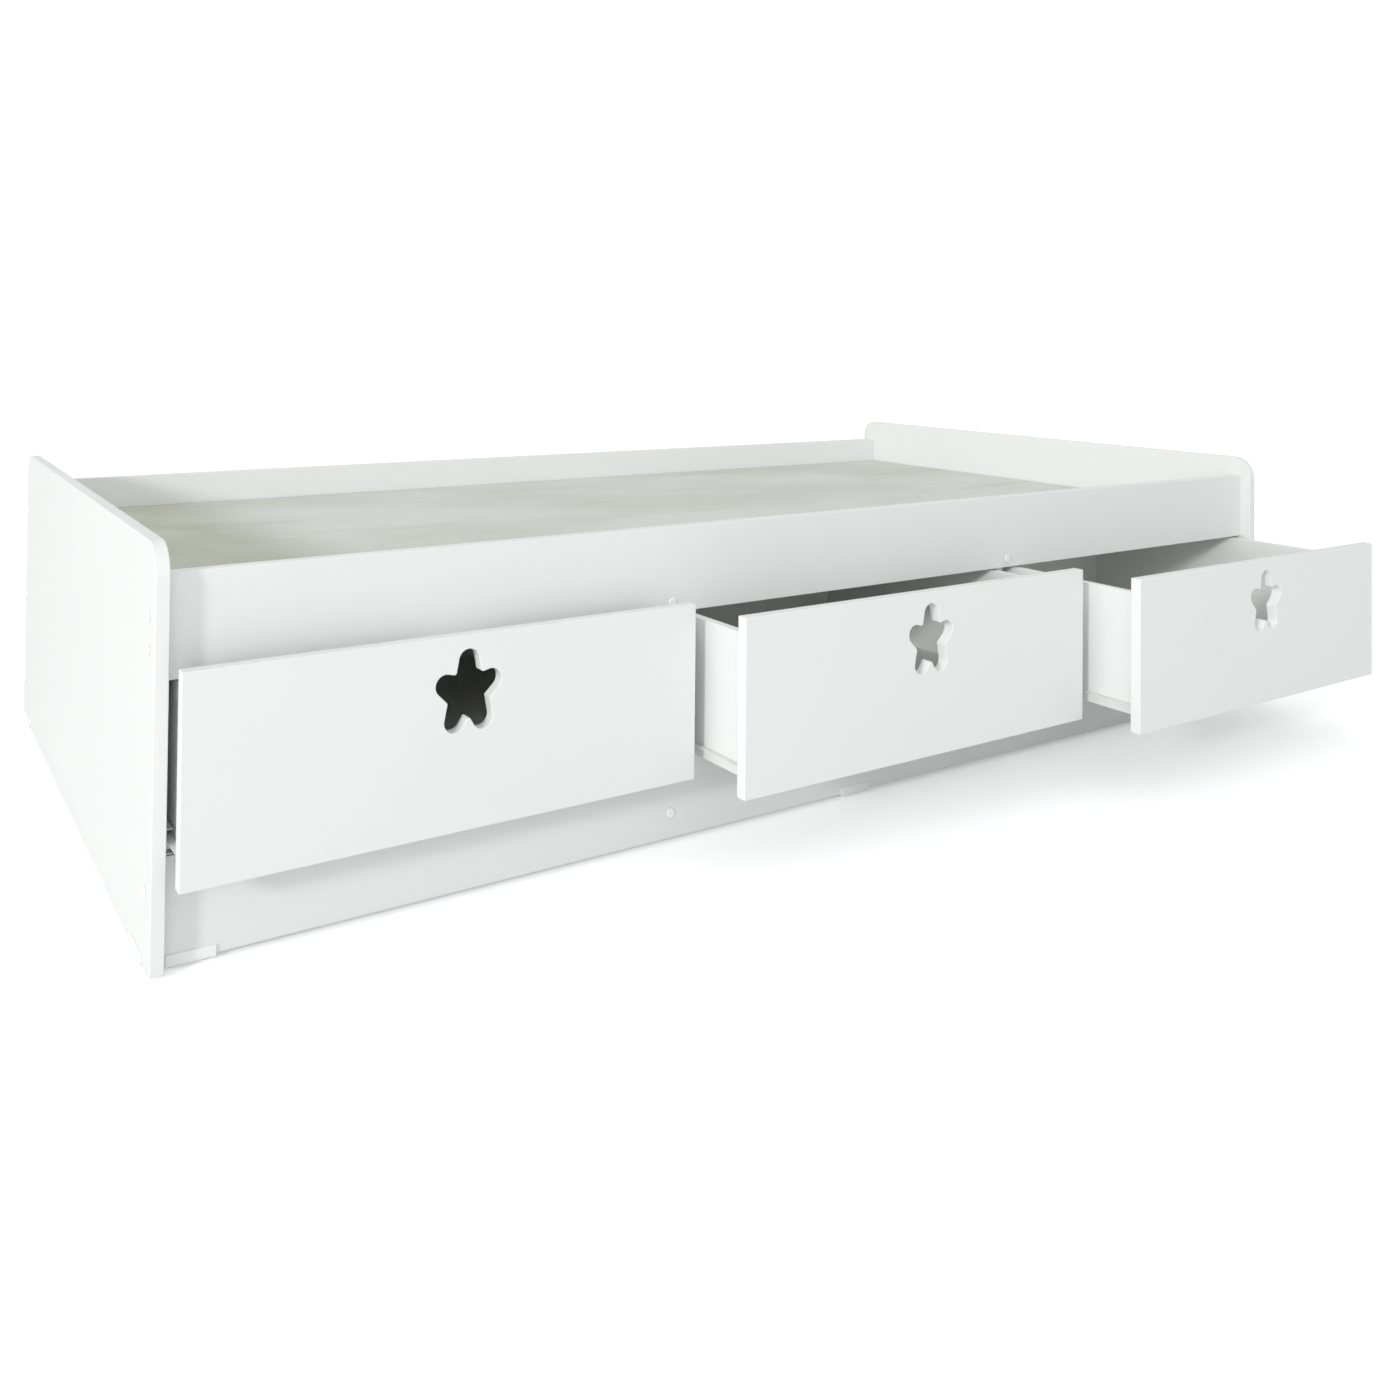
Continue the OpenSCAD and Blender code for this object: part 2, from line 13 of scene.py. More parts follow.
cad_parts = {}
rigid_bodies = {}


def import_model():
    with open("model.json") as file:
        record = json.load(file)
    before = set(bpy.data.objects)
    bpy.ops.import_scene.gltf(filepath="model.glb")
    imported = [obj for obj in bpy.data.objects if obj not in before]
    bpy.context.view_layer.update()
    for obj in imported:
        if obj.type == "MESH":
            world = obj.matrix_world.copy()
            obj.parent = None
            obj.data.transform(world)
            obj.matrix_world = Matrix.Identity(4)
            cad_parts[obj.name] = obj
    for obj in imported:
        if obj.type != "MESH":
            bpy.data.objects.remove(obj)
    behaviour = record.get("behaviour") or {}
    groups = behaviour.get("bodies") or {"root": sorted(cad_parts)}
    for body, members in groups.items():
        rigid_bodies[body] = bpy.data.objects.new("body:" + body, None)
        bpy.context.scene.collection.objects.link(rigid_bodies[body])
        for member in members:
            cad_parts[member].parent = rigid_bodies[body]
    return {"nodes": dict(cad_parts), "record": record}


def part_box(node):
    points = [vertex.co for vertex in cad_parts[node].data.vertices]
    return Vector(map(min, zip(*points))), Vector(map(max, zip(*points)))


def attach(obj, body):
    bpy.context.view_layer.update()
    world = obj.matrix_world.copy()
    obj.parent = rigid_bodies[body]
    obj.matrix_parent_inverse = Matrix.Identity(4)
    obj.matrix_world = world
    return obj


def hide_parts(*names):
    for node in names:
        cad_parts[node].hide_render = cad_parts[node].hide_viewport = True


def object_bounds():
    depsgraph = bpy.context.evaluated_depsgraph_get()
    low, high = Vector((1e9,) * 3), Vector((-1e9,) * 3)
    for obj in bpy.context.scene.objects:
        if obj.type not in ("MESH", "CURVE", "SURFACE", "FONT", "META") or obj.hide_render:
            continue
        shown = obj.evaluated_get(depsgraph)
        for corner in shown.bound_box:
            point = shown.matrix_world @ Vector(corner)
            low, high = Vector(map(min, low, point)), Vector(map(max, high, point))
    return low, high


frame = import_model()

LOG = logging.getLogger("bed")
CAD_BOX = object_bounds()
NODES = frame["nodes"]
RECORD = frame["record"]
BODY_OF = {node: body for body, nodes in RECORD["behaviour"]["bodies"].items() for node in nodes}
BAYS = (1, 2, 3)
# Vertices closer than this, in metres, are merged.
SAME_POINT = 0.000002
# Faces that meet at less than this angle become one flat face.
FLAT = math.radians(0.3)
# Edges whose faces meet at more than this angle are rounded.
SHARP = math.radians(35.0)
# The smallest part of a face's normal along the thickness that makes it a broad face.
BROADSIDE = 0.99
# The face attribute that holds each face's EdgeKind.
EDGING = "edging"
# The camera's sensor width, in millimetres.
SENSOR = 36.0
# How far the camera sees, in metres.
FAR = 200.0

Colour = tuple[float, float, float]
Point = tuple[float, float, float]

WHITE: Colour = (1.0, 1.0, 1.0)


# ---- Shader helpers -------------------------------------------------------

# The middle of the noise texture's values.
MEAN_NOISE = 0.5
# Scales that draw the wood's streaks and fibres out along X.
STREAK_STRETCH = (0.12, 1.0, 1.0)
FIBRE_STRETCH = (0.03, 1.0, 1.0)


class Socket(Enum):
    """Socket types used by the node groups."""

    NUMBER = "NodeSocketFloat"
    VECTOR = "NodeSocketVector"


class EdgeKind(Enum):
    """The parts of a board that its edging tells apart."""

    BROAD = 0.0
    JOINT = 0.5
    STRIP = 1.0


@dataclass
class Graph:
    """A node tree with short ways to add and join its nodes.

    Attributes:
        tree: The material's or group's node tree.
    """

    tree: bpy.types.NodeTree

    def add(self, kind: str, **settings: object) -> bpy.types.Node:
        """Adds one node.

        Args:
            kind: The node's type name.
            **settings: Properties to set on the node.

        Returns:
            The new node.
        """
        made = self.tree.nodes.new(kind)
        for name, value in settings.items():
            setattr(made, name, value)
        return made

    def join(self, source: bpy.types.NodeSocket, target: bpy.types.NodeSocket) -> None:
        """Links one socket to another."""
        self.tree.links.new(source, target)

    def feed(self, target: bpy.types.NodeSocket, value: object) -> None:
        """Links a value to a socket if it is a socket too, or sets it as the socket's constant.

        Args:
            target: The socket that takes the value.
            value: A socket or a constant.
        """
        if isinstance(value, bpy.types.NodeSocket):
            self.join(value, target)
        else:
            target.default_value = value

    def number(self, operation: str, first: object, second: object = 0.0) -> bpy.types.NodeSocket:
        """Adds a math node.

        Args:
            operation: The math node's operation.
            first: A socket or a number.
            second: A socket or a number.

        Returns:
            The node's result.
        """
        made = self.add("ShaderNodeMath", operation=operation)
        self.feed(made.inputs[0], first)
        self.feed(made.inputs[1], second)
        return made.outputs[0]

    def ramp(
        self, value: object, low: float, high: float, start: float = 0.0, end: float = 1.0
    ) -> bpy.types.NodeSocket:
        """Maps value from low..high smoothly to start..end.

        Args:
            value: The socket to map.
            low: Where the change begins.
            high: Where the change is complete.
            start: The result at low.
            end: The result at high.

        Returns:
            The mapped value.
        """
        made = self.add("ShaderNodeMapRange", interpolation_type="SMOOTHSTEP")
        for slot, given in zip(made.inputs, (value, low, high, start, end)):
            self.feed(slot, given)
        return made.outputs[0]

    def noise(
        self, where: object, scale: object, detail: float = 4.0, rough: float = 0.55
    ) -> bpy.types.NodeSocket:
        """Adds a noise texture.

        Args:
            where: The point it is read at.
            scale: Its scale, in cycles to the metre.
            detail: How many finer layers it has.
            rough: How strong the finer layers are.

        Returns:
            The noise value.
        """
        made = self.add("ShaderNodeTexNoise")
        self.feed(made.inputs["Vector"], where)
        self.feed(made.inputs["Scale"], scale)
        made.inputs["Detail"].default_value = detail
        made.inputs["Roughness"].default_value = rough
        return made.outputs["Fac"]

    def mix(self, share: object, first: object, second: object) -> bpy.types.NodeSocket:
        """Mixes two colours.

        Args:
            share: How much of the second colour shows.
            first: The first colour.
            second: The second colour.

        Returns:
            The mixed colour.
        """
        made = self.add("ShaderNodeMix", data_type="RGBA", clamp_factor=True)
        sockets = {socket.identifier: socket for socket in (*made.inputs, *made.outputs)}
        self.feed(sockets["Factor_Float"], share)
        self.feed(sockets["A_Color"], first)
        self.feed(sockets["B_Color"], second)
        return sockets["Result_Color"]

    def stretched(self, where: object, by: Point) -> bpy.types.NodeSocket:
        """Scales a point along each axis, which stretches a pattern read there.

        Args:
            where: The point.
            by: The scale along each axis.

        Returns:
            The scaled point.
        """
        made = self.add("ShaderNodeMapping")
        self.feed(made.inputs["Vector"], where)
        made.inputs["Scale"].default_value = by
        return made.outputs[0]


def rgba(colour: Colour) -> tuple[float, float, float, float]:
    """The colour with full opacity."""
    return (*colour, 1.0)


def new_group(name: str, inputs: dict[str, Socket], outputs: dict[str, Socket]) -> bpy.types.NodeTree:
    """Makes an empty node group with named sockets.

    Args:
        name: The group's name.
        inputs: Input names and types.
        outputs: Output names and types.

    Returns:
        The new group.
    """
    tree = bpy.data.node_groups.new(name, "ShaderNodeTree")
    for label, kind in inputs.items():
        tree.interface.new_socket(label, in_out="INPUT", socket_type=kind.value)
    for label, kind in outputs.items():
        tree.interface.new_socket(label, in_out="OUTPUT", socket_type=kind.value)
    return tree


@dataclass(frozen=True)
class Effects:
    """The effects that several finishes share.

    Attributes:
        skin: Fine unevenness of a pressed or coated surface.
        edging: Masks of a board's edge strips and of their joints.
        dust: A mask of settled dust on faces that look up.
        grain: Long fibres and rings of plain wood.
    """

    skin: bpy.types.NodeTree
    edging: bpy.types.NodeTree
    dust: bpy.types.NodeTree
    grain: bpy.types.NodeTree


def make_skin() -> bpy.types.NodeTree:
    """Makes the group for the fine unevenness of a coated surface.

    Returns:
        A group whose Tone is near 1 and whose Height is a fine ripple.
    """
    tree = new_group(
        "coated_skin",
        {
            "Where": Socket.VECTOR,
            "Ripple Scale": Socket.NUMBER,
            "Cloud Scale": Socket.NUMBER,
            "Depth": Socket.NUMBER,
        },
        {"Tone": Socket.NUMBER, "Height": Socket.NUMBER},
    )
    graph = Graph(tree)
    given = graph.add("NodeGroupInput").outputs
    ripple = graph.noise(given["Where"], given["Ripple Scale"], detail=3.0)
    cloud = graph.noise(given["Where"], given["Cloud Scale"], detail=2.0)
    shade = graph.number("SUBTRACT", cloud, MEAN_NOISE)
    tone = graph.number("ADD", 1.0, graph.number("MULTIPLY", shade, given["Depth"]))
    end = graph.add("NodeGroupOutput").inputs
    graph.join(tone, end["Tone"])
    graph.join(ripple, end["Height"])
    return tree


def make_edging() -> bpy.types.NodeTree:
    """Makes the group that tells a board's edge strips from its broad faces.

    Returns:
        A group whose Strip is 1 on the edge strips and whose Seam is 1 along their rounded joints.
    """
    tree = new_group(
        "edge_strips",
        {"Where": Socket.VECTOR, "Scale": Socket.NUMBER, "Seam Depth": Socket.NUMBER},
        {"Strip": Socket.NUMBER, "Seam": Socket.NUMBER},
    )
    graph = Graph(tree)
    given = graph.add("NodeGroupInput").outputs
    mark = graph.add("ShaderNodeAttribute", attribute_name=EDGING).outputs["Fac"]
    highlit_strip = graph.ramp(mark, low=0.6, high=0.9)
    away = graph.number("ABSOLUTE", graph.number("SUBTRACT", mark, EdgeKind.JOINT.value))
    joint = graph.ramp(away, low=0.05, high=0.3, start=1.0, end=0.0)
    patches = graph.noise(given["Where"], given["Scale"], detail=2.0)
    uneven = graph.ramp(patches, low=0.3, high=0.7, start=0.5)
    seam = graph.number("MULTIPLY", graph.number("MULTIPLY", joint, uneven), given["Seam Depth"])
    end = graph.add("NodeGroupOutput").inputs
    graph.join(highlit_strip, end["Strip"])
    graph.join(seam, end["Seam"])
    return tree


def make_dust() -> bpy.types.NodeTree:
    """Makes the group for dust that settles on faces that look up.

    Returns:
        A group whose Mask is the share of dust.
    """
    tree = new_group(
        "settled_dust",
        {"Where": Socket.VECTOR, "Scale": Socket.NUMBER, "Amount": Socket.NUMBER},
        {"Mask": Socket.NUMBER},
    )
    graph = Graph(tree)
    given = graph.add("NodeGroupInput").outputs
    facing = graph.add("ShaderNodeSeparateXYZ")
    graph.join(graph.add("ShaderNodeNewGeometry").outputs["Normal"], facing.inputs[0])
    up = graph.ramp(facing.outputs["Z"], low=0.5, high=0.95)
    cloud = graph.noise(given["Where"], given["Scale"], detail=5.0, rough=0.6)
    patches = graph.ramp(cloud, low=0.3, high=0.7, start=0.2)
    mask = graph.number("MULTIPLY", graph.number("MULTIPLY", up, patches), given["Amount"])
    graph.join(mask, graph.add("NodeGroupOutput").inputs["Mask"])
    return tree


def make_grain() -> bpy.types.NodeTree:
    """Makes the group for the long fibres of plain wood along the X axis.

    Returns:
        A group with broad Streaks and fine Fibres.
    """
    tree = new_group(
        "wood_grain",
        {"Where": Socket.VECTOR, "Streak Scale": Socket.NUMBER, "Fibre Scale": Socket.NUMBER},
        {"Streaks": Socket.NUMBER, "Fibres": Socket.NUMBER},
    )
    graph = Graph(tree)
    given = graph.add("NodeGroupInput").outputs
    streak_place = graph.stretched(given["Where"], STREAK_STRETCH)
    streaks = graph.noise(streak_place, given["Streak Scale"], detail=5.0, rough=0.6)
    fibre_place = graph.stretched(given["Where"], FIBRE_STRETCH)
    fibres = graph.noise(fibre_place, given["Fibre Scale"], detail=3.0, rough=0.7)
    end = graph.add("NodeGroupOutput").inputs
    graph.join(streaks, end["Streaks"])
    graph.join(fibres, end["Fibres"])
    return tree


def make_effects() -> Effects:
    """Builds the shared effects once."""
    return Effects(skin=make_skin(), edging=make_edging(), dust=make_dust(), grain=make_grain())


# ---- Finishes -------------------------------------------------------------


@dataclass
class Surface:
    """A material under construction.

    Attributes:
        graph: The material's node tree.
        shader: The Principled shader that ends it.
        where: The object's own coordinates.
        material: The material itself.
    """

    graph: Graph
    shader: bpy.types.Node
    where: bpy.types.NodeSocket
    material: bpy.types.Material

    def effect(self, tree: bpy.types.NodeTree, **values: object) -> bpy.types.Node:
        """Places a shared effect, read at the object's own coordinates.

        Args:
            tree: The effect's group.
            **values: Values for its inputs, with underscores for spaces.

        Returns:
            The group node.
        """
        made = self.graph.add("ShaderNodeGroup", node_tree=tree)
        self.graph.join(self.where, made.inputs["Where"])
        for name, value in values.items():
            self.graph.feed(made.inputs[name.replace("_", " ").title()], value)
        return made

    def tone(self, colour: bpy.types.NodeSocket, tone: bpy.types.NodeSocket) -> None:
        """Makes a colour lighter or darker from place to place and feeds it to the shader.

        Args:
            colour: The colour.
            tone: The change in its brightness, near 1.
        """
        made = self.graph.add("ShaderNodeHueSaturation")
        self.graph.join(colour, made.inputs["Color"])
        self.graph.join(tone, made.inputs["Value"])
        self.graph.join(made.outputs[0], self.shader.inputs["Base Color"])

    def bump(self, height: bpy.types.NodeSocket, depth: float) -> None:
        """Feeds a height to the shader's normal.

        Args:
            height: The height pattern.
            depth: The depth of the full pattern, in metres.
        """
        made = self.graph.add("ShaderNodeBump")
        made.inputs["Distance"].default_value = depth
        self.graph.join(height, made.inputs["Height"])
        self.graph.join(made.outputs[0], self.shader.inputs["Normal"])


def new_surface(name: str, roughness: float, metallic: float = 0.0, specular: float = 0.5) -> Surface:
    """Starts a material.

    Args:
        name: The material's name.
        roughness: The shader's roughness.
        metallic: The shader's metallic value.
        specular: The shader's specular level.

    Returns:
        The material with its shader in place.
    """
    material = bpy.data.materials.new(name)
    material.use_nodes = True
    graph = Graph(material.node_tree)
    shader = material.node_tree.nodes["Principled BSDF"]
    shader.inputs["Roughness"].default_value = roughness
    shader.inputs["Metallic"].default_value = metallic
    shader.inputs["Specular IOR Level"].default_value = specular
    where = graph.add("ShaderNodeTexCoord").outputs["Object"]
    return Surface(graph, shader, where, material)


@dataclass(frozen=True)
class WhiteFoil:
    """White foil on furniture board, with glossier strips on its edges that are painted lighter than the
    foil as a highlight.

    Attributes:
        colour: The foil's own colour.
        highlit_strip: The colour of the edge strips, lighter than the foil: a painted highlight.
        seam: The colour of the joints between foil and strips.
        dusty: The colour where dust lies.
        dust_amount: The largest share of dust on faces that look up.
        roughness: How dull the foil is.
        strip_roughness: How dull the edge strips are.
        dust_roughness: How much duller full dust makes them.
        seam_depth: How strongly the joints show.
        ripple: The depth of the foil's fine ripple, in metres.
    """

    colour: Colour = (0.85, 0.858, 0.852)
    highlit_strip: Colour = (0.88, 0.885, 0.882)
    seam: Colour = (0.72, 0.74, 0.73)
    dusty: Colour = (0.66, 0.68, 0.67)
    dust_amount: float = 0.25
    roughness: float = 0.45
    strip_roughness: float = 0.34
    dust_roughness: float = 0.4
    seam_depth: float = 0.35
    ripple: float = 0.00002

    def make(self, name: str, effects: Effects) -> bpy.types.Material:
        """Makes the finish.

        Args:
            name: The material's name.
            effects: The shared effects.

        Returns:
            The material.
        """
        surface = new_surface(name, self.roughness)
        graph = surface.graph
        skin = surface.effect(effects.skin, ripple_scale=900.0, cloud_scale=3.0, depth=0.035)
        edging = surface.effect(effects.edging, scale=60.0, seam_depth=self.seam_depth)
        dust = surface.effect(effects.dust, scale=9.0, amount=self.dust_amount)
        # The edge strips are painted lighter than the foil, a painted highlight; their lower roughness is
        # their own.
        with_strip_highlight = graph.mix(edging.outputs["Strip"], rgba(self.colour), rgba(self.highlit_strip))
        seamed = graph.mix(edging.outputs["Seam"], with_strip_highlight, rgba(self.seam))
        dusted = graph.mix(dust.outputs["Mask"], seamed, rgba(self.dusty))
        surface.tone(dusted, skin.outputs["Tone"])
        smooth = graph.ramp(edging.outputs["Strip"], 0.0, 1.0, self.roughness, self.strip_roughness)
        dulled = graph.number("MULTIPLY", dust.outputs["Mask"], self.dust_roughness)
        graph.join(graph.number("ADD", smooth, dulled), surface.shader.inputs["Roughness"])
        surface.bump(skin.outputs["Height"], self.ripple)
        return surface.material


@dataclass(frozen=True)
class RawSheet:
    """Unpainted board of the mattress deck, with clouds and saw streaks along its length, and a painted
    shade at its left end where the left end panel's shadow falls.

    Attributes:
        pale: The lightest tone.
        middle: The common tone.
        dark: The tone of streaks.
        painted_shade: The greenish tone of the painted shade at the left end, where the left end panel's
            shadow falls on the deck.
        painted_shade_end: Where the painted shade has faded out, along the bed, in metres.
        painted_shade_width: How far the painted shade takes to fade, in metres.
        painted_shade_slant: How far the painted shade's edge leans for each metre across the bed.
        painted_shade_wander: How far the painted shade's edge wanders, in metres.
        roughness: How dull the sheet is.
        specular: The strength of its reflections.
        cloud_stretch: The scale that draws the clouds out along X.
        fibre_depth: The depth of its fibres, in metres.
    """

    pale: Colour = (0.74, 0.745, 0.71)
    middle: Colour = (0.65, 0.66, 0.615)
    dark: Colour = (0.50, 0.505, 0.43)
    painted_shade: Colour = (0.56, 0.575, 0.47)
    painted_shade_end: float = -0.52
    painted_shade_width: float = 0.16
    painted_shade_slant: float = 0.12
    painted_shade_wander: float = 0.16
    roughness: float = 0.78
    specular: float = 0.25
    cloud_stretch: Point = (0.6, 1.0, 1.0)
    fibre_depth: float = 0.0002

    def make(self, name: str, effects: Effects) -> bpy.types.Material:
        """Makes the finish.

        Args:
            name: The material's name.
            effects: The shared effects.

        Returns:
            The material.
        """
        surface = new_surface(name, self.roughness, specular=self.specular)
        graph = surface.graph
        grain = surface.effect(effects.grain, streak_scale=14.0, fibre_scale=420.0)
        cloud = graph.noise(graph.stretched(surface.where, self.cloud_stretch), scale=3.2, detail=3.0)
        base = graph.mix(graph.ramp(cloud, low=0.35, high=0.65), rgba(self.middle), rgba(self.pale))
        # Painted shade: the left end panel's shadow, painted as a darker greenish tone over the deck's
        # left end.
        with_painted_shade = graph.mix(self.painted_shade_share(surface), base, rgba(self.painted_shade))
        streaks = graph.ramp(grain.outputs["Streaks"], low=0.52, high=0.78, end=0.5)
        streaked = graph.mix(streaks, with_painted_shade, rgba(self.dark))
        fibres = graph.ramp(grain.outputs["Fibres"], low=0.35, high=0.75, end=0.18)
        graph.join(graph.mix(fibres, streaked, rgba(self.dark)), surface.shader.inputs["Base Color"])
        surface.bump(grain.outputs["Fibres"], self.fibre_depth)
        return surface.material

    def painted_shade_share(self, surface: Surface) -> bpy.types.NodeSocket:
        """Makes the mask of the painted shade that the left end panel casts on the deck, whose edge
        wanders and slants across the bed.

        Args:
            surface: The material under construction.

        Returns:
            How much of the painted shade shows.
        """
        graph = surface.graph
        place = graph.add("ShaderNodeSeparateXYZ")
        graph.join(surface.where, place.inputs[0])
        slant = graph.number("MULTIPLY", place.outputs["Y"], self.painted_shade_slant)
        ragged = graph.noise(surface.where, scale=7.0)
        wander = graph.number("MULTIPLY", ragged, self.painted_shade_wander)
        reach = graph.number("ADD", graph.number("ADD", place.outputs["X"], slant), wander)
        edge = graph.ramp(reach, self.painted_shade_end - self.painted_shade_width, self.painted_shade_end, 1.0, 0.0)
        blotches = graph.noise(surface.where, scale=11.0, detail=3.0)
        clouds = graph.ramp(blotches, low=0.3, high=0.7, start=0.45, end=0.95)
        return graph.number("MULTIPLY", edge, clouds)


@dataclass(frozen=True)
class PlainTimber:
    """Sawn softwood of the cleats and dowels.

    Attributes:
        sap: The light wood between the rings.
        ring: The darker rings.
        roughness: How dull it is.
        specular: The strength of its reflections.
        fibre_depth: The depth of its fibres, in metres.
    """

    sap: Colour = (0.66, 0.52, 0.34)
    ring: Colour = (0.47, 0.32, 0.17)
    roughness: float = 0.65
    specular: float = 0.3
    fibre_depth: float = 0.0003

    def make(self, name: str, effects: Effects) -> bpy.types.Material:
        """Makes the finish.

        Args:
            name: The material's name.
            effects: The shared effects.

        Returns:
            The material.
        """
        surface = new_surface(name, self.roughness, specular=self.specular)
        graph = surface.graph
        grain = surface.effect(effects.grain, streak_scale=70.0, fibre_scale=900.0)
        rings = graph.ramp(grain.outputs["Streaks"], low=0.4, high=0.66, end=0.8)
        base = graph.mix(rings, rgba(self.sap), rgba(self.ring))
        fibres = graph.ramp(grain.outputs["Fibres"], low=0.4, high=0.8, end=0.35)
        graph.join(graph.mix(fibres, base, rgba(self.ring)), surface.shader.inputs["Base Color"])
        surface.bump(grain.outputs["Fibres"], self.fibre_depth)
        return surface.material


@dataclass(frozen=True)
class Coated:
    """A smooth coated or moulded surface, such as powder-coated steel or plastic.

    Attributes:
        colour: Its own colour.
        roughness: How dull it is.
        ripple: The scale of its surface ripple, in cycles to the metre.
        depth: The depth of that ripple, in metres.
        metallic: 1 for bare metal.
        grime: The share of dust on faces that look up.
        dusty_share: The brightness that is left where dust lies.
    """

    colour: Colour
    roughness: float
    ripple: float
    depth: float
    metallic: float = 0.0
    grime: float = 0.3
    dusty_share: float = 0.72

    def make(self, name: str, effects: Effects) -> bpy.types.Material:
        """Makes the finish.

        Args:
            name: The material's name.
            effects: The shared effects.

        Returns:
            The material.
        """
        surface = new_surface(name, self.roughness, self.metallic)
        graph = surface.graph
        skin = surface.effect(effects.skin, ripple_scale=self.ripple, cloud_scale=40.0, depth=0.1)
        dust = surface.effect(effects.dust, scale=30.0, amount=self.grime)
        dulled = tuple(self.dusty_share * part for part in self.colour)
        dusted = graph.mix(dust.outputs["Mask"], rgba(self.colour), rgba(dulled))
        surface.tone(dusted, skin.outputs["Tone"])
        surface.bump(skin.outputs["Height"], self.depth)
        return surface.material


POWDER_COAT = Coated(colour=(0.80, 0.82, 0.81), roughness=0.38, ripple=1400.0, depth=0.00004)
ZINC = Coated(colour=(0.66, 0.67, 0.68), roughness=0.34, ripple=2500.0, depth=0.00002, metallic=1.0)
MOULDED = Coated(colour=(0.94, 0.945, 0.94), roughness=0.36, ripple=1800.0, depth=0.00002)


# ---- The bed's sub-assemblies ---------------------------------------------


def dress(node: str, material: bpy.types.Material) -> None:
    """Gives a node one finish all over.

    Args:
        node: The node's name.
        material: The finish.
    """
    slots = NODES[node].data.materials
    slots.clear()
    slots.append(material)
    LOG.info("%s finished", node)


def edge_kind(face: bmesh.types.BMFace, thin: int, rounded: bool) -> EdgeKind:
    """Tells which part of a board a face belongs to.

    Args:
        face: The face.
        thin: The axis along the board's thickness.
        rounded: Whether the face was made by rounding an edge.

    Returns:
        Whether it is a broad face, a rounded joint or an edge strip.
    """
    if abs(face.normal[thin]) > BROADSIDE:
        return EdgeKind.BROAD
    return EdgeKind.JOINT if rounded else EdgeKind.STRIP


@dataclass
class Softened:
    """Parts that keep their shape and get slightly rounded edges.

    Attributes:
        names: The parts' node names.
        width: How wide the rounding is, in metres.
        segments: How many facets it has.
        evenness: How strongly broad faces pull the shading of their edges, from 1 to 100.
    """

    names: tuple[str, ...]
    width: float
    segments: int = 2
    evenness: int = 80

    def piece_name(self, node: str) -> str:
        """The name of the rounded piece that stands for a node."""
        return f"{node}_rounded"

    def build(self) -> None:
        """Makes a rounded piece for each part."""
        for name in self.names:
            self.round_off(name)

    def round_off(self, node: str) -> None:
        """Makes the rounded piece of one part.

        Args:
            node: The part's node name.
        """
        shape = bmesh.new()
        shape.from_mesh(NODES[node].data)
        bmesh.ops.remove_doubles(shape, verts=shape.verts, dist=SAME_POINT)
        bmesh.ops.dissolve_limit(
            shape,
            angle_limit=FLAT,
            use_dissolve_boundaries=False,
            verts=shape.verts,
            edges=shape.edges,
            delimit=set(),
        )
        inner = [edge for edge in shape.edges if len(edge.link_faces) == 2]
        corners = [edge for edge in inner if edge.calc_face_angle() > SHARP]
        made = bmesh.ops.bevel(
            shape,
            geom=corners,
            offset=self.width,
            offset_type="OFFSET",
            segments=self.segments,
            profile=0.5,
            affect="EDGES",
            clamp_overlap=False,
            material=-1,
        )
        self.mark_edges(node, shape, set(made["faces"]))
        self.place(node, shape)

    def place(self, node: str, shape: bmesh.types.BMesh) -> None:
        """Makes the finished piece, shades it evenly and sets it in the part's place.

        Args:
            node: The part's node name.
            shape: The rounded mesh, which is freed here.
        """
        mesh = bpy.data.meshes.new(self.piece_name(node))
        shape.to_mesh(mesh)
        shape.free()
        if "custom_normal" in mesh.attributes:
            mesh.attributes.remove(mesh.attributes["custom_normal"])
        mesh.shade_smooth()
        piece = bpy.data.objects.new(self.piece_name(node), mesh)
        bpy.context.scene.collection.objects.link(piece)
        even = piece.modifiers.new("even_shading", "WEIGHTED_NORMAL")
        even.keep_sharp = True
        even.weight = self.evenness
        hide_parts(node)
        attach(piece, BODY_OF[node])

    def mark_edges(self, node: str, shape: bmesh.types.BMesh, rounded: set[bmesh.types.BMFace]) -> None:
        """Marks each face as broad, rounded or an edge strip.

        Args:
            node: The part's node name.
            shape: The part's mesh.
            rounded: The faces that rounding made.
        """
        low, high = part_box(node)
        spans = [end - start for start, end in zip(low, high)]
        thin = spans.index(min(spans))
        shape.normal_update()
        layer = shape.faces.layers.float.new(EDGING)
        for face in shape.faces:
            face[layer] = edge_kind(face, thin, face in rounded).value

    def dress(self, material: bpy.types.Material) -> None:
        """Gives every piece one finish.

        Args:
            material: The finish.
        """
        for name in self.names:
            slots = bpy.data.objects[self.piece_name(name)].data.materials
            slots.clear()
            slots.append(material)
            LOG.info("%s finished", name)


@dataclass(frozen=True)
class Finishes:
    """The finishes of the whole bed.

    Attributes:
        foil: White foil of the boards.
        raw: The raw deck sheets.
        timber: Cleats and dowels.
        coat: Powder coat of the runners.
        steel: Bare zinc of screws, axles and fittings.
        plastic: Moulded plastic of caps, glides and rollers.
    """

    foil: bpy.types.Material
    raw: bpy.types.Material
    timber: bpy.types.Material
    coat: bpy.types.Material
    steel: bpy.types.Material
    plastic: bpy.types.Material

    @classmethod
    def mixed(cls, effects: Effects) -> "Finishes":
        """Makes all the finishes.

        Args:
            effects: The shared effects.

        Returns:
            The finishes.
        """
        return cls(
            foil=WhiteFoil().make("white_foil", effects),
            raw=RawSheet().make("raw_sheet", effects),
            timber=PlainTimber().make("plain_timber", effects),
            coat=POWDER_COAT.make("powder_coat", effects),
            steel=ZINC.make("zinc", effects),
            plastic=MOULDED.make("moulded_plastic", effects),
        )


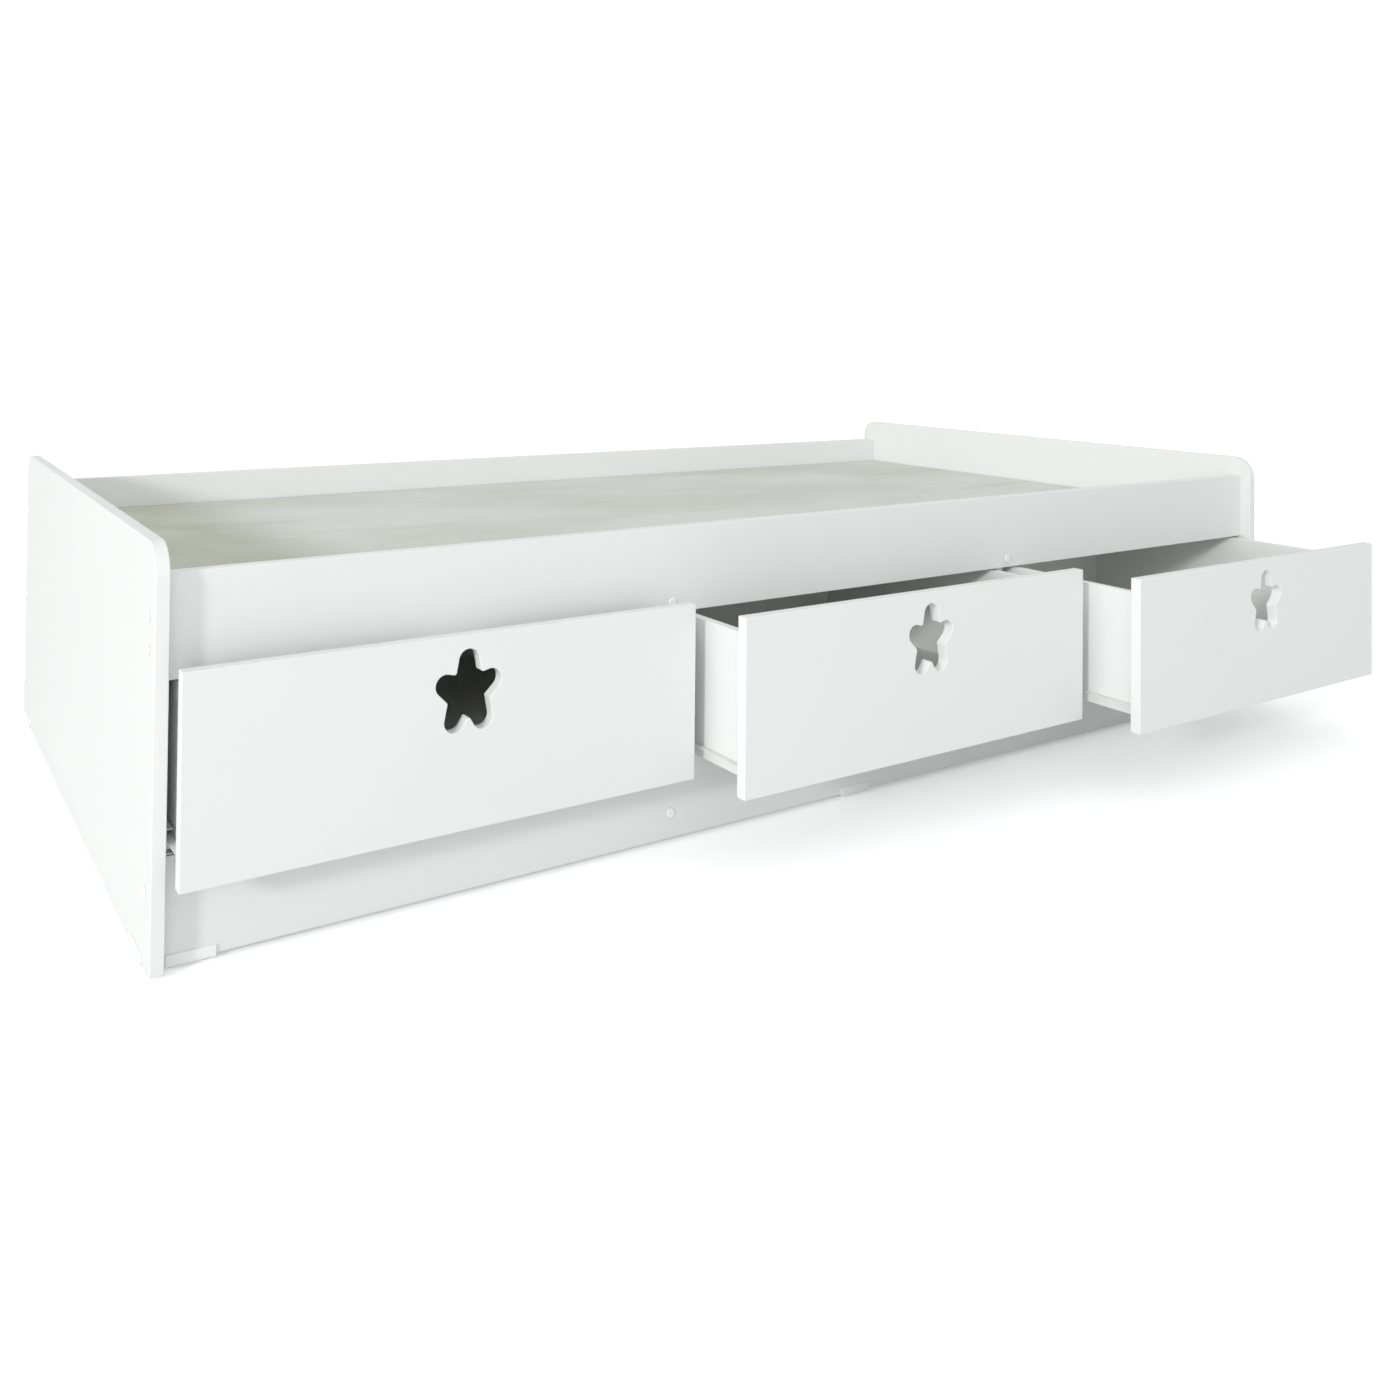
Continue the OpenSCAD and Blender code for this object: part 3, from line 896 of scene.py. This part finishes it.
@dataclass
class Carcass:
    """The fixed white boards: end panels, rail, plinth, back panel and dividers.

    Attributes:
        panels: The end panels, whose edges are well rounded.
        boards: The boards between them.
    """

    panels: Softened = field(
        default_factory=lambda: Softened(("left_end_panel", "right_end_panel"), width=0.0012, segments=3)
    )
    boards: Softened = field(
        default_factory=lambda: Softened(
            ("front_rail", "plinth", "back_panel", "left_divider", "right_divider"), width=0.0007
        )
    )

    def build(self) -> None:
        """Rounds the boards' edges."""
        self.panels.build()
        self.boards.build()

    def dress(self, finishes: Finishes) -> None:
        """Covers the boards with foil."""
        self.panels.dress(finishes.foil)
        self.boards.dress(finishes.foil)


@dataclass
class Deck:
    """The raw sheets that carry the mattress, and the timber under them.

    Attributes:
        sheets: The sheets.
        cleats: The cleats that carry them.
        dowels: The dowels' node name.
    """

    sheets: Softened = field(
        default_factory=lambda: Softened(
            ("left_deck_sheet", "middle_deck_sheet", "right_deck_sheet"), width=0.0004
        )
    )
    cleats: Softened = field(
        default_factory=lambda: Softened(("front_cleats", "back_cleats", "end_cleats"), width=0.0008)
    )
    dowels: str = "dowels"

    def build(self) -> None:
        """Rounds the edges of the sheets and cleats."""
        self.sheets.build()
        self.cleats.build()

    def dress(self, finishes: Finishes) -> None:
        """Gives the sheets and the timber their finishes.

        Args:
            finishes: The bed's finishes.
        """
        self.sheets.dress(finishes.raw)
        self.cleats.dress(finishes.timber)
        dress(self.dowels, finishes.timber)


@dataclass
class Drawer:
    """One drawer: its boards, runners, rollers and fastenings.

    Attributes:
        number: Its place, counted from the left.
        front_edge: How far the front's edges are rounded, in metres.
        box_edge: How far the box boards' edges are rounded, in metres.
        runner_edge: How far the runners' edges are rounded, in metres.
    """

    number: int
    front_edge: float = 0.001
    box_edge: float = 0.0005
    runner_edge: float = 0.0002
    front: Softened = field(init=False)
    box: Softened = field(init=False)
    runners: Softened = field(init=False)

    def __post_init__(self) -> None:
        """Names the drawer's parts."""
        self.front = Softened((self.node("front"),), self.front_edge)
        box = tuple(self.node(part) for part in ("left_side", "right_side", "back", "bottom"))
        self.box = Softened(box, self.box_edge)
        self.runners = Softened((self.node("runners"),), self.runner_edge)

    def node(self, part: str) -> str:
        """The node name of one of its parts."""
        return f"drawer_{self.number}_{part}"

    def build(self) -> None:
        """Rounds the edges of its boards and runners."""
        self.front.build()
        self.box.build()
        self.runners.build()

    def dress(self, finishes: Finishes) -> None:
        """Gives its parts their finishes.

        Args:
            finishes: The bed's finishes.
        """
        self.front.dress(finishes.foil)
        self.box.dress(finishes.foil)
        self.runners.dress(finishes.coat)
        dress(self.node("rollers"), finishes.plastic)
        for part in ("axles", "fittings", "screws"):
            dress(self.node(part), finishes.steel)


@dataclass
class Hardware:
    """The metal and plastic parts of the carcass.

    Attributes:
        caps: The covers of the connector screws.
        glides: The floor glides.
        channels: The fixed halves of the runners.
        steel_parts: Node names of the bare steel parts.
    """

    caps: Softened = field(
        default_factory=lambda: Softened(("cover_caps",), width=0.0006, segments=3)
    )
    glides: Softened = field(
        default_factory=lambda: Softened(
            ("end_panel_glides", "plinth_glides", "back_panel_glides"), width=0.0004
        )
    )
    channels: Softened = field(
        default_factory=lambda: Softened(tuple(f"bay_{bay}_channels" for bay in BAYS), width=0.0002)
    )
    steel_parts: tuple[str, ...] = ("cleat_screws", "carcass_screws", "channel_screws", "bay_axles")

    def build(self) -> None:
        """Rounds the edges of caps, glides and channels."""
        self.caps.build()
        self.glides.build()
        self.channels.build()

    def dress(self, finishes: Finishes) -> None:
        """Gives the parts their finishes.

        Args:
            finishes: The bed's finishes.
        """
        self.caps.dress(finishes.plastic)
        self.glides.dress(finishes.plastic)
        self.channels.dress(finishes.coat)
        for name in self.steel_parts:
            dress(name, finishes.steel)
        for bay in BAYS:
            dress(f"bay_{bay}_rollers", finishes.plastic)


# ---- Floor, light and camera ----------------------------------------------


@dataclass(frozen=True)
class Lamp:
    """One square light that faces the bed.

    Attributes:
        name: The light's name.
        place: Where it hangs.
        side: Its side, in metres.
        power: Its power, in watts.
        colour: Its colour.
    """

    name: str
    place: Point
    side: float
    power: float
    colour: Colour

    def hang(self) -> None:
        """Hangs the light and turns it to the bed's middle."""
        lamp = bpy.data.lights.new(self.name, "AREA")
        lamp.shape = "SQUARE"
        lamp.size = self.side
        lamp.energy = self.power
        lamp.color = self.colour
        light = bpy.data.objects.new(self.name, lamp)
        light.location = self.place
        light.rotation_euler = (-Vector(self.place)).to_track_quat("-Z", "Y").to_euler()
        bpy.context.scene.collection.objects.link(light)


# A window-like light to the left and a weak one in front.
LEFT_LAMP = Lamp("left_light", place=(-8.2, -3.7, 2.45), side=0.9, power=300.0, colour=(1.0, 1.0, 0.985))
FRONT_LAMP = Lamp("front_light", place=(-2.6, -5.2, 1.1), side=3.2, power=33.0, colour=(0.93, 1.0, 1.0))


@dataclass
class Studio:
    """A plain pale floor and soft light.

    Attributes:
        floor_size: Half the floor's side, in metres.
        floor_tone: The floor's colour as it is seen.
        floor_cloud: The brightness of the floor's faint clouds.
        floor_bounce: The floor's colour for the light that it throws back.
        floor_glow: The light the floor adds of its own where it is seen.
        floor_roughness: How dull the floor is.
        floor_specular: The strength of the floor's reflections.
        backdrop: The strength of the surround where it is seen.
        sky: The strength of the light from all round.
        sky_tone: The colour of that light.
        lamps: The lights that hang in it.
    """

    floor_size: float = 60.0
    floor_tone: Colour = (0.95, 0.95, 0.95)
    floor_cloud: float = 0.985
    floor_bounce: Colour = (0.78, 0.78, 0.78)
    floor_glow: float = 0.32
    floor_roughness: float = 0.9
    floor_specular: float = 0.1
    backdrop: float = 1.05
    sky: float = 0.78
    sky_tone: Colour = (0.985, 1.0, 0.995)
    lamps: tuple[Lamp, ...] = (LEFT_LAMP, FRONT_LAMP)

    def build(self) -> None:
        """Lays the floor and hangs the lights."""
        self.lay_floor()
        self.light_round()
        for lamp in self.lamps:
            lamp.hang()

    def lay_floor(self) -> None:
        """Lays a floor under the bed's lowest point."""
        shape = bmesh.new()
        bmesh.ops.create_grid(shape, x_segments=1, y_segments=1, size=self.floor_size)
        level = CAD_BOX[0].z
        bmesh.ops.translate(shape, verts=shape.verts, vec=(0.0, 0.0, level))
        mesh = bpy.data.meshes.new("floor")
        shape.to_mesh(mesh)
        shape.free()
        floor = bpy.data.objects.new("floor", mesh)
        bpy.context.scene.collection.objects.link(floor)
        mesh.materials.append(self.floor_finish())

    def floor_finish(self) -> bpy.types.Material:
        """Makes the floor's finish, which is brighter where it is seen than in the light it throws back.

        Returns:
            The material.
        """
        surface = new_surface("pale_floor", self.floor_roughness, specular=self.floor_specular)
        graph = surface.graph
        cloud = graph.ramp(graph.noise(surface.where, scale=0.8, detail=2.0), low=0.2, high=0.8)
        clouded = tuple(self.floor_cloud * part for part in self.floor_tone)
        mottled = graph.mix(cloud, rgba(self.floor_tone), rgba(clouded))
        seen = graph.add("ShaderNodeLightPath").outputs["Is Camera Ray"]
        graph.join(graph.mix(seen, rgba(self.floor_bounce), mottled), surface.shader.inputs["Base Color"])
        glow = graph.number("MULTIPLY", seen, self.floor_glow)
        surface.shader.inputs["Emission Color"].default_value = rgba(WHITE)
        graph.join(glow, surface.shader.inputs["Emission Strength"])
        return surface.material

    def light_round(self) -> None:
        """Sets a white surround that lights evenly and shows white."""
        world = bpy.data.worlds.new("white_surround")
        bpy.context.scene.world = world
        world.use_nodes = True
        graph = Graph(world.node_tree)
        graph.tree.nodes.clear()
        seen = graph.add("ShaderNodeLightPath").outputs["Is Camera Ray"]
        backdrop = graph.add("ShaderNodeBackground")
        backdrop.inputs["Color"].default_value = rgba(WHITE)
        backdrop.inputs["Strength"].default_value = self.backdrop
        glow = graph.add("ShaderNodeBackground")
        glow.inputs["Color"].default_value = rgba(self.sky_tone)
        glow.inputs["Strength"].default_value = self.sky
        either = graph.add("ShaderNodeMixShader")
        graph.join(seen, either.inputs[0])
        graph.join(glow.outputs[0], either.inputs[1])
        graph.join(backdrop.outputs[0], either.inputs[2])
        graph.join(either.outputs[0], graph.add("ShaderNodeOutputWorld").inputs["Surface"])


@dataclass
class Viewpoint:
    """The camera, low to the left of the open drawers.

    Attributes:
        place: Where it stands.
        yaw: Its turn to the right from looking along +Y, in radians.
        pitch: Its tilt upwards, in radians.
        roll: Its turn about its own view line, in radians.
        lens: Its focal length, in millimetres.
        shift: Sideways and upward shift.
    """

    place: Point = (-1.24298, -1.73447, 0.31323)
    yaw: float = 0.54002
    pitch: float = 0.01606
    roll: float = 0.01125
    lens: float = 31.1238
    shift: tuple[float, float] = (0.09433, -0.27804)

    def build(self) -> None:
        """Makes the camera and makes it the scene's own."""
        heading = Vector((math.sin(self.yaw), math.cos(self.yaw), 0.0))
        ahead = math.cos(self.pitch) * heading + math.sin(self.pitch) * Vector((0.0, 0.0, 1.0))
        level = Vector((math.cos(self.yaw), -math.sin(self.yaw), 0.0))
        upright = level.cross(ahead)
        right = math.cos(self.roll) * level + math.sin(self.roll) * upright
        up = math.cos(self.roll) * upright - math.sin(self.roll) * level
        lens = bpy.data.cameras.new("viewpoint")
        lens.sensor_width = SENSOR
        lens.lens = self.lens
        lens.shift_x, lens.shift_y = self.shift
        lens.clip_end = FAR
        lens.dof.use_dof = False
        camera = bpy.data.objects.new("viewpoint", lens)
        turn = Matrix((right, up, -ahead)).transposed().to_4x4()
        camera.matrix_world = Matrix.Translation(self.place) @ turn
        bpy.context.scene.collection.objects.link(camera)
        bpy.context.scene.camera = camera


def main() -> None:
    """Builds and dresses the bed, then sets up its surroundings."""
    logging.basicConfig(level=logging.INFO, format="%(name)s: %(message)s")
    finishes = Finishes.mixed(make_effects())
    drawers = (Drawer(number) for number in BAYS)
    for assembly in (Carcass(), Deck(), *drawers, Hardware()):
        assembly.build()
        assembly.dress(finishes)
    Studio().build()
    LOG.info("floor and lights set up")
    Viewpoint().build()
    LOG.info("camera placed")
    view = bpy.context.scene.view_settings
    view.view_transform = "Standard"
    view.look = "None"
    LOG.info("bed finished with %d nodes", len(NODES))


if __name__ == "__main__":
    main()
